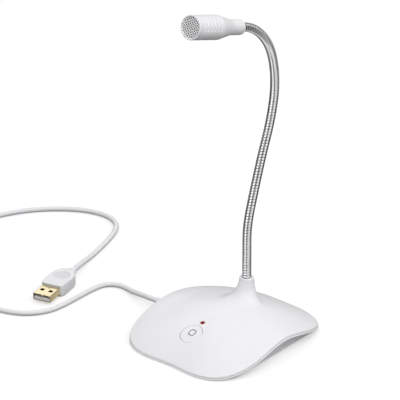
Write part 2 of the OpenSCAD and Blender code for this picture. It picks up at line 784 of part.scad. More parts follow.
module plug_grip() {
    edge = 0.8;
    recess_d = 10;
    recess_deep = 0.4;
    recess_y = plug_relief_l + grip_rear_l;
    color("whitesmoke") on_plug() difference() {
        hull() {
            translate([0, 0, -grip_t / 2 + edge]) linear_extrude(grip_t - 2 * edge) grip_outline(0);
            translate([0, 0, -grip_t / 2]) linear_extrude(grip_t) grip_outline(edge);
        }
        translate([0, recess_y, grip_t / 2 - recess_deep]) cylinder(d = recess_d, h = 2);
        rotate([-90, 0, 0]) cylinder(r = plug_relief_r + snug, h = plug_relief_l + plug_relief_in + snug);
        translate([-usb_w / 2 - snug, plug_relief_l + grip_l - usb_in, -usb_t / 2 - snug])
            cube([usb_w + 2 * snug, usb_in + 1, usb_t + 2 * snug]);
    }
}

// Folded metal shell with two windows in its upper and lower side
module plug_shell() {
    window = [2.4, 2];
    window_x = 2.9;
    window_back = 6.4;
    low = plug_relief_l + grip_l - usb_in;
    color("gold") on_plug() translate([0, low, 0]) difference() {
        rotate([-90, 0, 0]) linear_extrude(usb_in + usb_l) difference() {
            rounded_rectangle(usb_w, usb_t, usb_round);
            rounded_rectangle(usb_w - 2 * usb_sheet, usb_t - 2 * usb_sheet, usb_round_in);
        }
        for (sx = [-1, 1])
            translate([sx * window_x - window[0] / 2, usb_in + usb_l - window_back - window[1] / 2, -usb_t])
                cube([window[0], window[1], 2 * usb_t]);
    }
}

module plug_tongue() {
    low = plug_relief_l + grip_l - usb_in;
    gap = usb_sheet + snug;
    color("black") on_plug() translate([0, low, 0]) {
        translate([-usb_w / 2 + gap, 0, -usb_t / 2 + gap]) cube([usb_w - 2 * gap, usb_in, usb_t - 2 * gap]);
        translate([-usb_w / 2 + gap, usb_in - 1, -usb_t / 2 + gap])
            cube([usb_w - 2 * gap, usb_l + 0.6, tongue_t]);
    }
}

module plug_contacts() {
    low = plug_relief_l + grip_l;
    contact_z = -usb_t / 2 + usb_sheet + snug + tongue_t;
    contact = [1, usb_l - 3, 0.2];
    color("goldenrod") on_plug() for (x = [-3.5, -1, 1, 3.5])
        translate([x - contact[0] / 2, low + 1, contact_z]) cube(contact);
}

top_shell();
bottom_cover();
rubber_feet();
cover_screws();
ballast_plate();
circuit_board();
board_parts();
board_screws();
push_switch();
switch_plunger();
button_cap();
status_lamp();
neck_ferrule();
neck_washer();
neck_nut();
neck_foot();
neck_link(0);  // neck_link_1
neck_link(1);  // neck_link_2
neck_link(2);  // neck_link_3
neck_link(3);  // neck_link_4
neck_link(4);  // neck_link_5
neck_link(5);  // neck_link_6
neck_link(6);  // neck_link_7
neck_link(7);  // neck_link_8
neck_link_9();
neck_bush();
head_shell();
grille();
foam_disc();
mic_capsule();
capsule_holder();
strain_relief();
cord_run();
cord_coil();
cord_tie();
cord_return();
plug_relief();
plug_grip();
plug_shell();
plug_tongue();
plug_contacts();
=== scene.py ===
import json
import math

import bmesh
import bpy
from mathutils import Matrix, Vector

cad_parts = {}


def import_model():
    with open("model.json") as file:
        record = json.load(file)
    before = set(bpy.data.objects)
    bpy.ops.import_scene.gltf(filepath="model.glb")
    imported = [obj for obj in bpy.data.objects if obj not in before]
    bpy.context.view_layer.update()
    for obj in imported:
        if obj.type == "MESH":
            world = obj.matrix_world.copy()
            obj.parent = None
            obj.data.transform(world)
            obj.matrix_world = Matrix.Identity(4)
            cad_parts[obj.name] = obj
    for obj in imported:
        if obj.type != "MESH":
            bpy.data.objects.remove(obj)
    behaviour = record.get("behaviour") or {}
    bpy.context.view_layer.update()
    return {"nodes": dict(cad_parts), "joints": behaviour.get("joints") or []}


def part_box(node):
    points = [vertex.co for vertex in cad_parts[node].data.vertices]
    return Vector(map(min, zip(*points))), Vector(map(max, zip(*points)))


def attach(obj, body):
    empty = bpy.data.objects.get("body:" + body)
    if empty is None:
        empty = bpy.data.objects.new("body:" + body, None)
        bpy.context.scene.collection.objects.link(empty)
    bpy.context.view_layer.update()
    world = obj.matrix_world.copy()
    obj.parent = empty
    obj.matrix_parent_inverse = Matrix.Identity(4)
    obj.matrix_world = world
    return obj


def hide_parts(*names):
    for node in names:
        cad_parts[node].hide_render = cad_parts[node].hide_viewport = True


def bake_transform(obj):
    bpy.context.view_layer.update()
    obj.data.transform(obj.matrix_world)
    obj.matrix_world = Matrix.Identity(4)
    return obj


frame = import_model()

scene = bpy.context.scene
nodes = frame["nodes"]

# Sizes are in millimetres, as the solids have them, and meshes are scaled to metres when made
MM = 0.001

# Base: outline, dome, lip, arches, cover and neck boss
BASE_W, BASE_D = 91.0, 106.0
MIDDLE_FRONT = 3.0
CORNER_REACH = 56.5
EDGE_WAVE = 0.8
CROWN_H = 19.5
DOME_POWER = 1.95
RIM_H = 1.9
LIP_H, LIP_LOW, LIP_W = 0.8, 0.9, 2.8
BROW_H, BROW_HALF, BROW_FROM = 1.5, 75.0, 0.6
ARCH_RISE, ARCH_TURN, ARCH_HALF = 9.7, 4.0, 63.5
WALL = 1.7
PAN_INSET, PAN_WALL = 4.6, 2.0
PAN_SIDE, PAN_SLANT, PAN_CORNER = 39.3, 0.045, 1.0
PAN_END_TURN, PAN_END_SPAN = 52.0, 18.0
FOOT_H, PAN_T = 0.8, 2.0
PAN_TOP = FOOT_H + PAN_T
BOSS_Y, BOSS_R, BOSS_H = 18.0, 4.5, 15.5
FLARE_REACH, FLARE_FRONT = 10.0, 6.0
BASE_STEPS, HOLE_STEPS = 180, 40

# Button and lamp
BUTTON_W, BUTTON_L, BUTTON_Y = 13.5, 13.0, 32.0
BUTTON_GAP = 0.25
EGG_LEAN, EGG_STEPS = 0.1, 96
LED_D, LED_Y, LED_GAP = 2.7, 22.0, 0.08

# Gooseneck and head
NECK_R = 2.75
WIRE_H, WIRE_W, WIRE_ROUND = 1.1, 1.36, 0.24
WIRE_PITCH, CORE_SHARE = 1.75, 0.7
HEAD_LEAN = math.radians(72.3)
HEAD_R, HEAD_L, BARREL_L = 7.35, 46.5, 22.0
TAIL_R, TAIL_L = 4.65, 9.5
TAPER_L = HEAD_L - BARREL_L - TAIL_L
LAST_LINK = 12.0
RIM_W = 0.75
GRILLE_DEPTH = 0.7

# Cord and plug
CORD_D = 3.2
GRIP_W, GRIP_L, GRIP_T, GRIP_REAR_L = 15.5, 24.0, 8.0, 10.0
PLUG_RELIEF_L = 5.0
USB_W, USB_T, USB_L, USB_SHEET, USB_ROUND = 12.0, 4.5, 12.0, 0.4, 0.6
GRIP_FRONT = PLUG_RELIEF_L + GRIP_L
PLUG_TIP = GRIP_FRONT + USB_L
PLUG_REAR, PLUG_TURN = Vector((-122.0, -5.0, GRIP_T / 2)), math.radians(195.0)
PLUG_PLACE = Matrix.Translation(PLUG_REAR) @ Matrix.Rotation(PLUG_TURN, 4, "Z")

# Setback of a small rounded edge at its middle, as a share of its size
ROUND_MID = 0.3

# Angles in degrees above which an edge stays crisp
SHARP, CUT_SHARP = 40, 35


def clamp01(value):
    return max(0.0, min(1.0, value))


def smoothstep(value):
    t = clamp01(value)
    return t * t * (3 - 2 * t)


def full_turn(steps):
    """Angles of that many equal steps round a circle."""
    return [2 * math.pi * i / steps for i in range(steps)]


# Mesh helpers

def add_object(name, data):
    item = bpy.data.objects.new(name, data)
    scene.collection.objects.link(item)
    return item


def smooth(mesh, sharp):
    mesh.shade_smooth()
    mesh.set_sharp_from_angle(angle=math.radians(sharp))


def make_piece(name, points, faces, materials, face_slots=None, sharp=SHARP):
    """A smooth-shaded mesh object from points in millimetres; edges above the sharp angle stay crisp."""
    mesh = bpy.data.meshes.new(name)
    mesh.from_pydata([Vector(p) * MM for p in points], [], faces)
    for material in materials:
        mesh.materials.append(material)
    if face_slots:
        mesh.polygons.foreach_set("material_index", face_slots)
    mesh.validate()
    tidy = bmesh.new()
    tidy.from_mesh(mesh)
    bmesh.ops.recalc_face_normals(tidy, faces=tidy.faces)
    tidy.to_mesh(mesh)
    tidy.free()
    smooth(mesh, sharp)
    return add_object(name, mesh)


def band(first, second, n):
    """Quads between two rings of n points that start at these indices."""
    return [(first + i, first + (i + 1) % n, second + (i + 1) % n, second + i) for i in range(n)]


def stack(rings, loop=False):
    """Points and faces of a surface through rings of equal count, closed on itself or capped by fans."""
    n = len(rings[0])
    last = (len(rings) - 1) * n
    points = [p for ring in rings for p in ring]
    faces = []
    for start in range(0, last, n):
        faces += band(start, start + n, n)
    if loop:
        return points, faces + band(last, 0, n)
    for ring, start in ((rings[0], 0), (rings[-1], last)):
        points.append(tuple(sum(c) / n for c in zip(*ring)))
        faces += [(start + i, start + (i + 1) % n, len(points) - 1) for i in range(n)]
    return points, faces


def circle(radius, steps, at=(0.0, 0.0)):
    turn = 2 * math.pi / steps
    return [(at[0] + radius * math.cos(i * turn), at[1] + radius * math.sin(i * turn)) for i in range(steps)]


def revolve(profile, steps, at=(0.0, 0.0)):
    """Rings of a profile of (radius, height) pairs, turned round an upright axis."""
    return [[(x, y, z) for x, y in circle(r, steps, at)] for r, z in profile]


def arc(centre, radius, start, end, steps):
    """Points of a circular arc in a profile plane, angles in degrees."""
    turns = [math.radians(start + (end - start) * k / steps) for k in range(steps + 1)]
    return [(centre[0] + radius * math.cos(t), centre[1] + radius * math.sin(t)) for t in turns]


def rounded_box(half_x, half_y, radius, steps, at=(0.0, 0.0)):
    """Outline of a box with round corners."""
    line = []
    for sx, sy, start in ((1, 1, 0), (-1, 1, 90), (-1, -1, 180), (1, -1, 270)):
        corner = (at[0] + sx * (half_x - radius), at[1] + sy * (half_y - radius))
        line += arc(corner, radius, start, start + 90, steps)
    return line


def cut_prism(piece, line, low, high, place=Matrix.Identity(4)):
    """Cuts an upright prism with this outline out of the piece."""
    points, faces = stack([[place @ Vector((x, y, z)) for x, y in line] for z in (low, high)])
    cutter = make_piece("cutter", points, faces, [piece.data.materials[0]])
    tool = piece.modifiers.new("cut", "BOOLEAN")
    tool.operation = "DIFFERENCE"
    tool.solver = "EXACT"
    tool.object = cutter
    graph = bpy.context.evaluated_depsgraph_get()
    mesh = bpy.data.meshes.new_from_object(piece.evaluated_get(graph))
    piece.modifiers.clear()
    piece.data = mesh
    bpy.data.objects.remove(cutter)
    smooth(mesh, CUT_SHARP)


def even_normals(piece):
    """Large faces lead the shading, so that a cut leaves no smear round its edge."""
    piece.modifiers.new("even_normals", "WEIGHTED_NORMAL").keep_sharp = True


# Materials: noise mostly lies between these values, and colour and gloss change over larger patches than the grain

NOISE_LOW, NOISE_HIGH = 0.3, 0.7
NOISE_DETAIL = 3.0
COLOUR_PATCH, GLOSS_PATCH = 12, 5


def new_material(name):
    material = bpy.data.materials.new(name)
    material.use_nodes = True
    tree = material.node_tree
    return material, tree, tree.nodes["Principled BSDF"]


def noise(tree, scale):
    place = tree.nodes.new("ShaderNodeTexCoord")
    texture = tree.nodes.new("ShaderNodeTexNoise")
    texture.inputs["Scale"].default_value = scale
    texture.inputs["Detail"].default_value = NOISE_DETAIL
    tree.links.new(place.outputs["Object"], texture.inputs["Vector"])
    return texture.outputs["Fac"]


def remap(tree, value, low, high, to_low=0.0, to_high=1.0, kind="LINEAR"):
    """Maps the range from low to high to another one."""
    ramp = tree.nodes.new("ShaderNodeMapRange")
    ramp.interpolation_type = kind
    ramp.inputs["From Min"].default_value = low
    ramp.inputs["From Max"].default_value = high
    ramp.inputs["To Min"].default_value = to_low
    ramp.inputs["To Max"].default_value = to_high
    tree.links.new(value, ramp.inputs["Value"])
    return ramp.outputs["Result"]


def tint(tree, value, dark, light):
    """Mixes two colours by a 0 to 1 value."""
    ramp = tree.nodes.new("ShaderNodeValToRGB")
    ramp.color_ramp.elements[0].position = NOISE_LOW
    ramp.color_ramp.elements[1].position = NOISE_HIGH
    ramp.color_ramp.elements[0].color = (*dark, 1)
    ramp.color_ramp.elements[1].color = (*light, 1)
    tree.links.new(value, ramp.inputs["Fac"])
    return ramp.outputs["Color"]


def dress(tree, shader, colour, rough, grain, depth=0.00002, strength=0.2):
    """Gives a shader its colour, an uneven gloss and a fine grain, with the grain's depth in metres."""
    tree.links.new(colour, shader.inputs["Base Color"])
    gloss = remap(tree, noise(tree, grain / GLOSS_PATCH), NOISE_LOW, NOISE_HIGH, *rough)
    tree.links.new(gloss, shader.inputs["Roughness"])
    bump = tree.nodes.new("ShaderNodeBump")
    bump.inputs["Strength"].default_value = strength
    bump.inputs["Distance"].default_value = depth
    tree.links.new(noise(tree, grain), bump.inputs["Height"])
    tree.links.new(bump.outputs["Normal"], shader.inputs["Normal"])


def grained(name, colour, shift, rough, grain, metal=0.0, **relief):
    """A moulded or metal surface with a slight colour drift."""
    material, tree, shader = new_material(name)
    light = tuple(min(1.0, c * (1 + shift)) for c in colour)
    dark = tuple(c * (1 - shift) for c in colour)
    shader.inputs["Metallic"].default_value = metal
    dress(tree, shader, tint(tree, noise(tree, grain / COLOUR_PATCH), dark, light), rough, grain, **relief)
    return material


def tongue_painted_shade():
    """White plastic at the plug's mouth, with painted shade further in where the shell keeps the light off."""
    white, dark, rough, grain = (0.8, 0.8, 0.8), (0.02, 0.02, 0.02), (0.4, 0.5), 1400
    white_to, dark_from = 1.5, 3.5
    material, tree, shader = new_material("white_tongue_painted_shade")
    forward = PLUG_PLACE.to_3x3() @ Vector((0, 1, 0))
    tip = PLUG_REAR.dot(forward) + PLUG_TIP
    place = tree.nodes.new("ShaderNodeTexCoord")
    along = tree.nodes.new("ShaderNodeVectorMath")
    along.operation = "DOT_PRODUCT"
    along.inputs[1].default_value = forward
    tree.links.new(place.outputs["Object"], along.inputs[0])
    # Painted shade: the colour runs from near black deep in the shell to white at the mouth
    share = remap(tree, along.outputs["Value"], (tip - dark_from) * MM, (tip - white_to) * MM)
    dress(tree, shader, tint(tree, share, dark, white), rough, grain)
    return material


# Name, colour, share that the colour drifts by, range of roughness and scale of the grain
WHITE = grained("white_satin_plastic", (0.848, 0.848, 0.856), 0.008, (0.36, 0.44), 2600)
WHITE_SOFT = grained("white_soft_plastic", (0.82, 0.82, 0.835), 0.012, (0.42, 0.52), 1800, strength=0.3)
# Grey for the floor of the grip's thumb recess: painted shade
WHITE_RECESS_PAINTED_SHADE = grained("white_recess_painted_shade", (0.72, 0.72, 0.735), 0.012, (0.5, 0.6), 1800, strength=0.3)
# Grey for the grip's front face beside the gold: painted shade
GRIP_FACE_PAINTED_SHADE = grained("grip_face_painted_shade", (0.46, 0.45, 0.44), 0.03, (0.5, 0.6), 1500)
WHITE_UNDER = grained("white_cover_plastic", (0.86, 0.86, 0.87), 0.012, (0.5, 0.6), 1500, strength=0.35)
CHROME = grained("chrome_wire", (0.9, 0.9, 0.91), 0.04, (0.08, 0.18), 1400, metal=1.0, depth=0.00001)
# Near-black core under the wire: painted shade in the gaps between the turns
NECK_CORE_PAINTED_SHADE = grained("neck_core_painted_shade", (0.05, 0.05, 0.052), 0.1, (0.4, 0.55), 900, metal=1.0)
STEEL = grained("brushed_steel", (0.6, 0.6, 0.61), 0.06, (0.28, 0.42), 1200, metal=1.0)
MESH_STEEL = grained("grille_steel", (0.88, 0.88, 0.89), 0.04, (0.3, 0.42), 1500)
IRON = grained("ballast_iron", (0.23, 0.23, 0.25), 0.12, (0.5, 0.7), 700, metal=0.8)
RUBBER = grained("black_rubber", (0.035, 0.035, 0.036), 0.15, (0.65, 0.8), 1500, strength=0.4)
FOAM = grained("dark_foam", (0.02, 0.02, 0.021), 0.3, (0.85, 0.95), 1300, depth=0.0002, strength=0.8)
BOARD = grained("green_board", (0.03, 0.16, 0.07), 0.15, (0.3, 0.45), 800)
COMPONENTS = grained("component_black", (0.05, 0.05, 0.055), 0.15, (0.4, 0.6), 1200)
GOLD = grained("gold_plate", (1.0, 0.86, 0.56), 0.03, (0.2, 0.28), 600, metal=1.0, depth=0.000004)
CRIMP = grained("gold_crimp", (0.3, 0.22, 0.1), 0.08, (0.35, 0.45), 900, metal=1.0)
# Near-black gold for the shell's inner faces: painted shade inside the plug
GOLD_INSIDE_PAINTED_SHADE = grained("gold_inside_painted_shade", (0.05, 0.04, 0.025), 0.15, (0.5, 0.6), 900, metal=0.5)
# The plug's tongue, white at the mouth with painted shade further in
TONGUE_PAINTED_SHADE = tongue_painted_shade()
PRINT = grained("grey_print", (0.11, 0.11, 0.115), 0.1, (0.5, 0.6), 2600)
LENS = grained("red_lens", (0.25, 0.004, 0.004), 0.12, (0.1, 0.18), 900, depth=0.00001)
LENS.node_tree.nodes["Principled BSDF"].inputs["Specular IOR Level"].default_value = 0.25


# Base forms, by the rules that the solids follow, with the brow and the cover's straight sides on top

MEAN_REACH = (BASE_W + BASE_D) / 4
OUTLINE_0 = (MEAN_REACH + CORNER_REACH) / 2
OUTLINE_4 = (MEAN_REACH - CORNER_REACH) / 2
OUTLINE_2 = (BASE_D - BASE_W) / 4 + EDGE_WAVE


def rim_reach(a):
    """Distance of the base's outline from its middle in direction a."""
    return (OUTLINE_0 - OUTLINE_2 * math.cos(2 * a) + OUTLINE_4 * math.cos(4 * a) + EDGE_WAVE * math.cos(6 * a)
            + MIDDLE_FRONT / 2 * (math.sin(a) - math.sin(3 * a)))


def rim_height(a):
    """Height of the dome at its rim, raised over the arches left and right."""
    off = abs(math.degrees(math.asin(math.sin(a))) - ARCH_TURN) / ARCH_HALF
    return RIM_H + (ARCH_RISE * math.cos(math.pi / 2 * off) ** 2 if off < 1 else 0.0)


def brow(a):
    """Extra height of the shell's edge over the arches."""
    off = abs(math.degrees(math.asin(math.sin(a)))) / BROW_HALF
    return BROW_H * math.cos(math.pi / 2 * off) ** 2 if off < 1 else 0.0


def lip_bottom(a):
    return rim_height(a) - LIP_H - LIP_LOW * (1 - brow(a) / BROW_H)


def dome(x, y):
    """Height of the pillow dome without the boss."""
    a = math.atan2(y + MIDDLE_FRONT, x)
    share = math.hypot(x, y + MIDDLE_FRONT) / rim_reach(a)
    lift = brow(a) * smoothstep((share - BROW_FROM) / (1 - BROW_FROM))
    return CROWN_H - (CROWN_H - rim_height(a)) * share ** DOME_POWER + lift


BOSS_TOP = dome(0, BOSS_Y) + BOSS_H


def skin(x, y):
    """Height of the outer skin: the dome, raised near the boss by a quarter-ellipse flare."""
    r = math.hypot(x, y - BOSS_Y)
    share = clamp01(1 - (r - BOSS_R) / (FLARE_REACH - FLARE_FRONT * (y - BOSS_Y) / r))
    w = share * share
    return (1 - w) * dome(x, y) + w * dome(0, BOSS_Y) + BOSS_H * (1 - math.sqrt(1 - w))


def outline(a, inset):
    """Point of the base's outline in direction a, set back towards the middle."""
    reach = rim_reach(a) - inset
    return Vector((reach * math.cos(a), reach * math.sin(a) - MIDDLE_FRONT))


def cover_inset(a):
    """Straight sides that meet the rim near the corners; set back at the front and the back."""
    narrowest, soft = 0.2, 1.0
    turn = abs(math.degrees(math.asin(math.sin(a))))
    end = PAN_CORNER + (PAN_INSET - PAN_CORNER) * smoothstep((turn - PAN_END_TURN) / PAN_END_SPAN)
    y = outline(a, PAN_INSET).y
    side = rim_reach(a) - (PAN_SIDE - PAN_SLANT * y) / max(abs(math.cos(a)), narrowest)
    return (side + end + math.hypot(side - end, soft)) / 2


def cover_height(a):
    """Top of the cover's wall, just under the shell's inside or under its lip."""
    inset, gap = cover_inset(a), 0.15
    p = outline(a, inset)
    return (lip_bottom(a) if inset < LIP_W + 2 * gap else dome(p.x, p.y) - WALL) - gap


def egg(t, grow):
    """Point of the button's outline, which is wider towards the front."""
    return ((BUTTON_W / 2 + grow) * math.cos(t) * (1 - EGG_LEAN * math.sin(t)),
            (BUTTON_L / 2 + grow) * math.sin(t) - BUTTON_Y)


def top_shell():
    """Domed shell with a rolled lip, raised side arches and a flared boss that the neck stands in."""
    rows, rows_in, edge_steps, mouth_steps = 46, 12, 8, 5
    edge, edge_drop, low_edge = 0.5, 0.35, 0.2
    ledge, ledge_at, ledge_round, ledge_rise = 0.35, 0.42, 0.1, 0.03
    mouth_r, mouth_edge, mouth_bevel, mouth_dish, mouth_depth = NECK_R + 0.15, 0.5, 0.3, 0.02, 6.0
    flare_start, crowding = BOSS_R + 0.012, 2.0
    cut_low, cut_high = PAN_TOP + 2, CROWN_H + 5
    boss = Vector((0.0, BOSS_Y))
    turns = full_turn(BASE_STEPS)

    def ray(a, r0, inset, t):
        way = outline(a, inset) - boss
        return boss + way.normalized() * (r0 + t * (way.length - r0))

    def ring(place, height):
        spots = [place(a) for a in turns]
        return [(p.x, p.y, height(a, p)) for a, p in zip(turns, spots)]

    def round_boss(r, z):
        return ring(lambda a: ray(a, r, 0, 0), lambda a, p: z)

    def on_lip(a, share):
        low, high = lip_bottom(a), rim_height(a) + brow(a) - edge_drop
        return low + (high - low) * share

    rings = []
    for k in range(rows_in + 1):
        t = k / rows_in
        rings.append(ring(lambda a: ray(a, mouth_r, LIP_W, t), lambda a, p: dome(p.x, p.y) - WALL))
    rings.append(ring(lambda a: outline(a, LIP_W), lambda a, p: lip_bottom(a)))
    low_mid = low_edge * ROUND_MID
    for inset, lift in ((low_edge, 0.0), (low_mid, low_mid), (0.0, low_edge)):
        rings.append(ring(lambda a: outline(a, inset), lambda a, p: lip_bottom(a) + lift))
    for inset, lift in ((0.0, -ledge_round), (ledge_round, 0.0), (ledge, ledge_rise), (ledge, ledge_round)):
        rings.append(ring(lambda a: outline(a, inset), lambda a, p: on_lip(a, ledge_at) + lift))
    for k in range(edge_steps + 1):
        t = math.radians(90 * k / edge_steps)
        inset = ledge + edge * (1 - math.cos(t))
        fall = edge_drop * (1 - math.sin(t))
        rings.append(ring(lambda a: outline(a, inset), lambda a, p: skin(p.x, p.y) - fall))
    for k in range(1, rows + 1):
        t = (1 - k / rows) ** crowding
        rings.append(ring(lambda a: ray(a, flare_start, ledge + edge, t), lambda a, p: skin(p.x, p.y)))
    mouth = arc((BOSS_R - mouth_edge, BOSS_TOP - mouth_edge), mouth_edge, 0, 90, mouth_steps)
    mouth += [(mouth_r + mouth_bevel, BOSS_TOP - mouth_dish), (mouth_r, BOSS_TOP - mouth_bevel),
              (mouth_r, BOSS_TOP - mouth_depth)]
    rings += [round_boss(r, z) for r, z in mouth]
    points, faces = stack(rings, loop=True)
    shell = make_piece("base_shell", points, faces, [WHITE], sharp=50)

    cut_prism(shell, [egg(t, BUTTON_GAP) for t in full_turn(EGG_STEPS)], cut_low, cut_high)
    cut_prism(shell, circle(LED_D / 2 + LED_GAP, HOLE_STEPS, (0, -LED_Y)), cut_low, cut_high)
    even_normals(shell)
    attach(shell, "base")
    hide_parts("top_shell")


def bottom_cover():
    """Tray under the shell: its wall closes the arches, its floor has recesses for the screws."""
    edge = 0.5
    recess_r, recess_deep, screw_gap, below = 2.25, 0.9, 0.15, -1
    turns = full_turn(BASE_STEPS)

    def ring(inset, height):
        return [(*outline(a, cover_inset(a) + inset), height(a)) for a in turns]

    mid = edge * ROUND_MID
    rings = [ring(edge, lambda a: FOOT_H), ring(mid, lambda a: FOOT_H + mid), ring(0, lambda a: FOOT_H + edge),
             ring(0, cover_height), ring(PAN_WALL, cover_height), ring(PAN_WALL, lambda a: PAN_TOP)]
    points, faces = stack(rings)
    cover = make_piece("base_cover", points, faces, [WHITE_UNDER])
    _, screw_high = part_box("cover_screws")
    screw_r = recess_r - screw_gap
    corner = Vector((screw_high.x, screw_high.y, 0)) / MM - Vector((screw_r, screw_r, 0))
    for sx in (-1, 1):
        for sy in (-1, 1):
            place = Matrix.Translation((sx * corner.x, sy * corner.y, 0))
            cut_prism(cover, circle(recess_r, HOLE_STEPS), below, FOOT_H + recess_deep, place)
    even_normals(cover)
    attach(cover, "base")
    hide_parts("bottom_cover")


def button():
    """Flush cap with a soft edge and a printed rounded-square mark."""
    edge, edge_steps, proud, deep = 0.45, 6, 0.12, 3.2
    inner_shares = (0.9, 0.75, 0.6, 0.45, 0.3, 0.15)
    mark_side, mark_corner, corner_steps, mark_y = 3.9, 1.15, 8, 0.6 - BUTTON_Y
    stroke, raised = 0.52, 0.04

    def on_dome(line, lift):
        return [(x, y, dome(x, y) + proud + lift) for x, y in line]

    def ring(grow, drop):
        return on_dome([egg(t, grow) for t in full_turn(EGG_STEPS)], -drop)

    def inner(share):
        line = [egg(t, -edge) for t in full_turn(EGG_STEPS)]
        return on_dome([(x * share, -BUTTON_Y + (y + BUTTON_Y) * share) for x, y in line], 0)

    rings = [ring(-edge, deep), ring(0, deep)]
    for k in range(edge_steps + 1):
        t = math.radians(90 * k / edge_steps)
        rings.append(ring(-edge * (1 - math.cos(t)), edge * (1 - math.sin(t))))
    points, faces = stack(rings + [inner(share) for share in inner_shares])
    cap = make_piece("button_cap_piece", points, faces, [WHITE])
    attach(cap, "button")
    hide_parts("button_cap")

    rings = []
    for grow, lift in ((-stroke / 2, -raised), (-stroke / 2, raised), (stroke / 2, raised), (stroke / 2, -raised)):
        half = mark_side / 2 + grow
        rings.append(on_dome(rounded_box(half, half, mark_corner + grow, corner_steps, (0, mark_y)), lift))
    points, faces = stack(rings, loop=True)
    mark = make_piece("button_mark", points, faces, [PRINT])
    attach(mark, "button")


def lamp():
    """Low domed lens with a small edge, which stands a little proud of the shell."""
    top = dome(0, -LED_Y)
    r, edge, low, high = LED_D / 2, 0.14, 0.1, 0.7
    stem_end, stem_edge, stem_share = 4, 3.8, 0.9
    rises, steps = (0, 0.25, 0.5, 0.75, 1.0, 1.25, 1.45), 48
    profile = [(r * stem_share, top - stem_end), (r, top - stem_edge), (r, top - 3 * low), (r + edge, top - 2 * low)]
    profile += [((r + edge) * math.cos(t), top - low + high * math.sin(t)) for t in rises]
    points, faces = stack(revolve(profile, steps, (0, -LED_Y)))
    lens = make_piece("lamp_lens", points, faces, [LENS])
    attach(lens, "base")
    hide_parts("status_lamp")


# Gooseneck: one wound wire on a smooth line through the bending points

bends = [Vector(j["pos_m"]) / MM for j in frame["joints"] if j["name"].startswith("neck_bend")]
head_way = Vector((0, -math.sin(HEAD_LEAN), math.cos(HEAD_LEAN)))
head_tail = bends[-1] + LAST_LINK * head_way


def neck_line():
    """Centre line of the neck as short steps, its length at each, and its length at the middle of each link."""
    in_boss, over_boss, in_head, last_share = 4, 5.5, 3, 0.75
    foot_steps, steps, head_steps = 10, 40, 8
    foot = Vector((0, BOSS_Y, BOSS_TOP - in_boss))
    first = Vector((0, BOSS_Y, BOSS_TOP + over_boss))
    last = bends[-1] + last_share * LAST_LINK * head_way
    ends = [first] + [(a + b) / 2 for a, b in zip(bends, bends[1:])] + [last]
    line = [foot + (first - foot) * k / foot_steps for k in range(foot_steps)]
    marks = [0]
    for a, bend, b in zip(ends, bends, ends[1:]):
        for t in [i / steps for i in range(steps)]:
            line.append((1 - t) ** 2 * a + 2 * t * (1 - t) * bend + t * t * b)
        marks.append(len(line))
    line += [last + (head_tail + in_head * head_way - last) * k / head_steps for k in range(head_steps + 1)]
    marks[-1] = len(line) - 1
    lengths = [0.0]
    for a, b in zip(line, line[1:]):
        lengths.append(lengths[-1] + (b - a).length)
    return line, lengths, [lengths[m] for m in marks]


def gooseneck():
    """Wire and dark core, one piece for each bend."""
    per_turn, corner_steps, core_sides, core_steps = 30, 4, 20, 24
    winding_r, core_r = NECK_R - WIRE_H / 2, NECK_R - WIRE_H * CORE_SHARE
    line, lengths, marks = neck_line()
    section = rounded_box(WIRE_H / 2, WIRE_W / 2, WIRE_ROUND, corner_steps)
    side = Vector((1, 0, 0))

    def at(s):
        k = max(i for i in range(len(lengths)) if lengths[i] <= s + 1e-9)
        k = min(k, len(line) - 2)
        t = (s - lengths[k]) / (lengths[k + 1] - lengths[k])
        before, after = line[max(k - 1, 0)], line[min(k + 2, len(line) - 1)]
        way = (line[k + 1] - before).lerp(after - line[k], t).normalized()
        return line[k].lerp(line[k + 1], t), way

    for k, (low, high) in enumerate(zip(marks, marks[1:])):
        count = round((high - low) / WIRE_PITCH * per_turn)
        wire = []
        for i in range(count + 1):
            s = low + (high - low) * i / count
            spot, way = at(s)
            turn = 2 * math.pi * s / WIRE_PITCH
            out = math.cos(turn) * side + math.sin(turn) * way.cross(side)
            middle = spot + winding_r * out
            wire.append([middle + up * out + along * way for up, along in section])
        core = []
        for i in range(core_steps + 1):
            spot, way = at(low + (high - low) * i / core_steps)
            across = way.cross(side)
            core.append([spot + core_r * (math.cos(q) * side + math.sin(q) * across) for q in full_turn(core_sides)])
        points, faces = stack(wire)
        core_points, core_faces = stack(core)
        # The core takes the near-black finish, painted shade between the turns
        slots = [0] * len(faces) + [1] * len(core_faces)
        faces = faces + [tuple(i + len(points) for i in f) for f in core_faces]
        piece = make_piece(f"neck_winding_{k + 1}", points + core_points, faces, [CHROME, NECK_CORE_PAINTED_SHADE], slots)
        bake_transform(piece)
        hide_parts(f"neck_link_{k + 1}")
        if k == 0:
            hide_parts("neck_foot")


# Head, built upright along Z from its tail, then laid along the last link

HEAD_PLACE = Matrix.Translation(head_tail) @ Matrix.Rotation(HEAD_LEAN, 4, "X")


def taper(t):
    """Even slope from 0 to 1 with soft ends."""
    soft = 0.2
    if t > 1 - soft:
        return 1 - taper(1 - t)
    return t * t / (2 * soft * (1 - soft)) if t < soft else (t - soft / 2) / (1 - soft)


def head_radius(z):
    return TAIL_R + (HEAD_R - TAIL_R) * taper(clamp01((z - TAIL_L) / TAPER_L))


